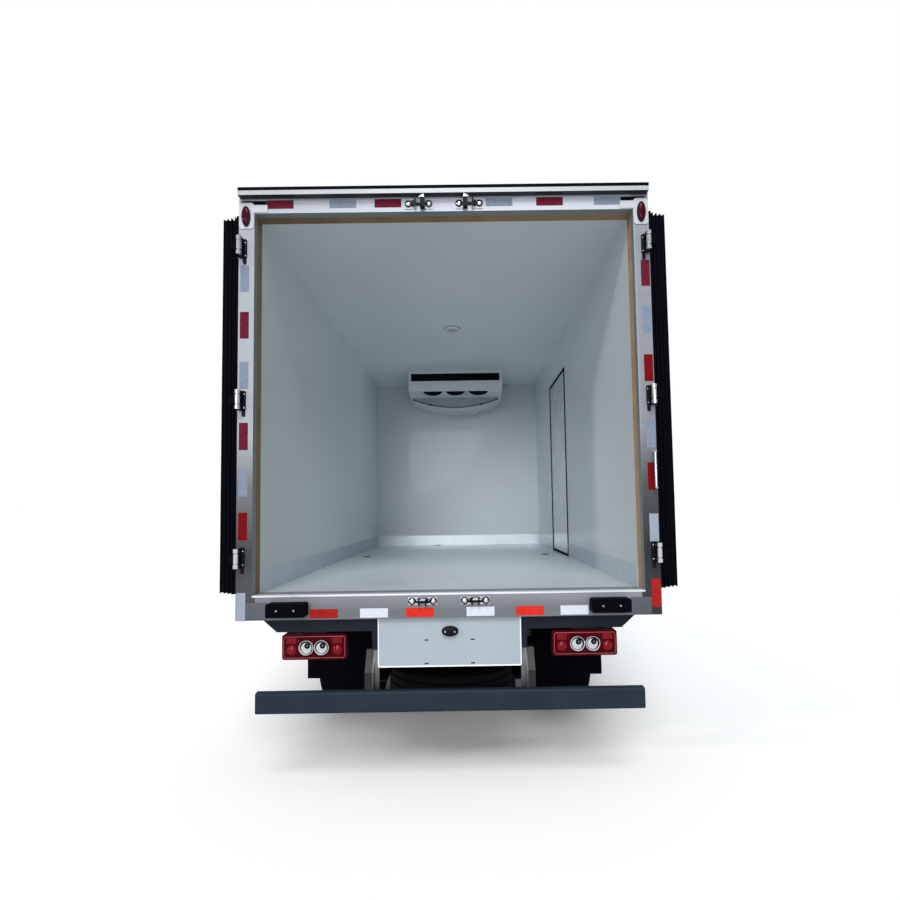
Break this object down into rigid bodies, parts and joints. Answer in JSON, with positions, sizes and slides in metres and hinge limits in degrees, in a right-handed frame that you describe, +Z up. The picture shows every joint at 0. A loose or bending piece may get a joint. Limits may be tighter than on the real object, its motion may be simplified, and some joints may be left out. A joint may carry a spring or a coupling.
{
  "type": "refrigerated truck",
  "caption": "Light refrigerated truck with an insulated box, folded rear doors, a side door, cab, evaporator and condenser; wheels, steering and doors move.",
  "frame": {"origin": "on the ground, below the middle of the whole truck", "axes": "+X to the truck's right, +Y forward to the cab, +Z up"},
  "size_m": [2.396, 6.0238, 3.185],
  "materials": {
    "black_steel": "satin",
    "bar_grey": "satin",
    "galvanised": "satin",
    "black_rubber": "matte",
    "white_paint": "gloss",
    "white_panel": "satin",
    "clear_glass": "gloss",
    "grey_plastic": "matte",
    "seat_cloth": "matte",
    "stainless": "satin",
    "tan_plastic": "matte",
    "bright_aluminium": "satin",
    "red_lens": "gloss",
    "plate_white": "satin",
    "tyre_rubber": "matte"
  },
  "bodies": {
    "truck": {"frame_rails": "black_steel", "frame_crossmembers": "black_steel", "engine_and_gearbox": "black_steel", "front_axle_beam": "black_steel", "rear_axle": "black_steel", "leaf_springs": "black_steel", "fuel_tank": "galvanised", "battery_box": "black_steel", "exhaust_silencer": "galvanised", "rear_mudguards": "black_rubber", "underride_bar": "bar_grey", "side_guards": "galvanised", "cross_bearers": "black_steel", "cab_floor": "white_paint", "cab_front": "white_paint", "cab_sides": "white_paint", "cab_back": "white_paint", "cab_roof": "white_paint", "cab_glass": "clear_glass", "front_bumper": "grey_plastic", "grille": "grey_plastic", "headlamps": "clear_glass", "mirrors": "grey_plastic", "dashboard": "grey_plastic", "seats": "seat_cloth", "box_floor": "white_panel", "box_roof": "white_panel", "box_front_wall": "white_panel", "box_side_left": "white_panel", "box_side_right": "white_panel", "rear_frame": "stainless", "door_jamb": "tan_plastic", "kick_plates": "bright_aluminium", "evaporator": "white_panel", "condenser_unit": "white_panel", "rear_lamps": "red_lens", "plate_panel": "plate_white", "dock_bumpers": "black_rubber", "frame_hardware": "stainless", "spare_wheel": "tyre_rubber"},
    "steering_knuckle_left": {"knuckle_left": "black_steel"},
    "steering_knuckle_right": {"knuckle_right": "black_steel"},
    "track_rod": {"tie_rod": "black_steel"},
    "wheel_front_left": {"front_wheel_left": "tyre_rubber"},
    "wheel_front_right": {"front_wheel_right": "tyre_rubber"},
    "wheels_rear_left": {"rear_wheels_left": "tyre_rubber"},
    "wheels_rear_right": {"rear_wheels_right": "tyre_rubber"},
    "door_rear_left": {"rear_door_left": "white_panel", "door_seal_left": "black_rubber", "door_hardware_left": "stainless"},
    "door_rear_right": {"rear_door_right": "white_panel", "door_seal_right": "black_rubber", "door_hardware_right": "stainless"},
    "door_side": {"side_door": "white_panel"},
    "door_cab_left": {"cab_door_left": "white_paint", "cab_door_glass_left": "clear_glass"},
    "door_cab_right": {"cab_door_right": "white_paint", "cab_door_glass_right": "clear_glass"}
  },
  "joints": [
    {"name": "steer_left", "type": "hinge", "parent": "truck", "child": "steering_knuckle_left", "pos_m": [-0.68, 1.915, 0.387], "axis": [0, 0, 1], "range_deg": [-35, 35]},
    {"name": "steer_right", "type": "hinge", "parent": "truck", "child": "steering_knuckle_right", "pos_m": [0.68, 1.915, 0.387], "axis": [0, 0, 1], "range_deg": [-35, 35]},
    {"name": "track_rod_pivot", "type": "hinge", "parent": "steering_knuckle_left", "child": "track_rod", "pos_m": [-0.68, 1.735, 0.285], "axis": [0, 0, 1], "range_deg": [-35, 35]},
    {"name": "front_left_spin", "type": "hinge", "parent": "steering_knuckle_left", "child": "wheel_front_left", "pos_m": [-0.8, 1.915, 0.387], "axis": [1, 0, 0], "continuous": true},
    {"name": "front_right_spin", "type": "hinge", "parent": "steering_knuckle_right", "child": "wheel_front_right", "pos_m": [0.8, 1.915, 0.387], "axis": [1, 0, 0], "continuous": true},
    {"name": "rear_left_spin", "type": "hinge", "parent": "truck", "child": "wheels_rear_left", "pos_m": [-0.785, -1.393, 0.387], "axis": [1, 0, 0], "continuous": true},
    {"name": "rear_right_spin", "type": "hinge", "parent": "truck", "child": "wheels_rear_right", "pos_m": [0.785, -1.393, 0.387], "axis": [1, 0, 0], "continuous": true},
    {"name": "rear_door_left_swing", "type": "hinge", "parent": "truck", "child": "door_rear_left", "pos_m": [-1.082, -2.996, 2.04], "axis": [0, 0, 1], "range_deg": [0, 270]},
    {"name": "rear_door_right_swing", "type": "hinge", "parent": "truck", "child": "door_rear_right", "pos_m": [1.082, -2.996, 2.04], "axis": [0, 0, -1], "range_deg": [0, 270]},
    {"name": "side_door_swing", "type": "hinge", "parent": "truck", "child": "door_side", "pos_m": [1.12, -0.045, 1.9], "axis": [0, 0, 1], "range_deg": [0, 165]},
    {"name": "cab_door_left_swing", "type": "hinge", "parent": "truck", "child": "door_cab_left", "pos_m": [-0.955, 2.52, 1.17], "axis": [0, 0, -1], "range_deg": [0, 70]},
    {"name": "cab_door_right_swing", "type": "hinge", "parent": "truck", "child": "door_cab_right", "pos_m": [0.955, 2.52, 1.17], "axis": [0, 0, 1], "range_deg": [0, 70]}
  ],
  "couplings": [
    {"joint": "steer_right", "follows": "steer_left", "ratio": 1},
    {"joint": "track_rod_pivot", "follows": "steer_left", "ratio": -1}
  ]
}
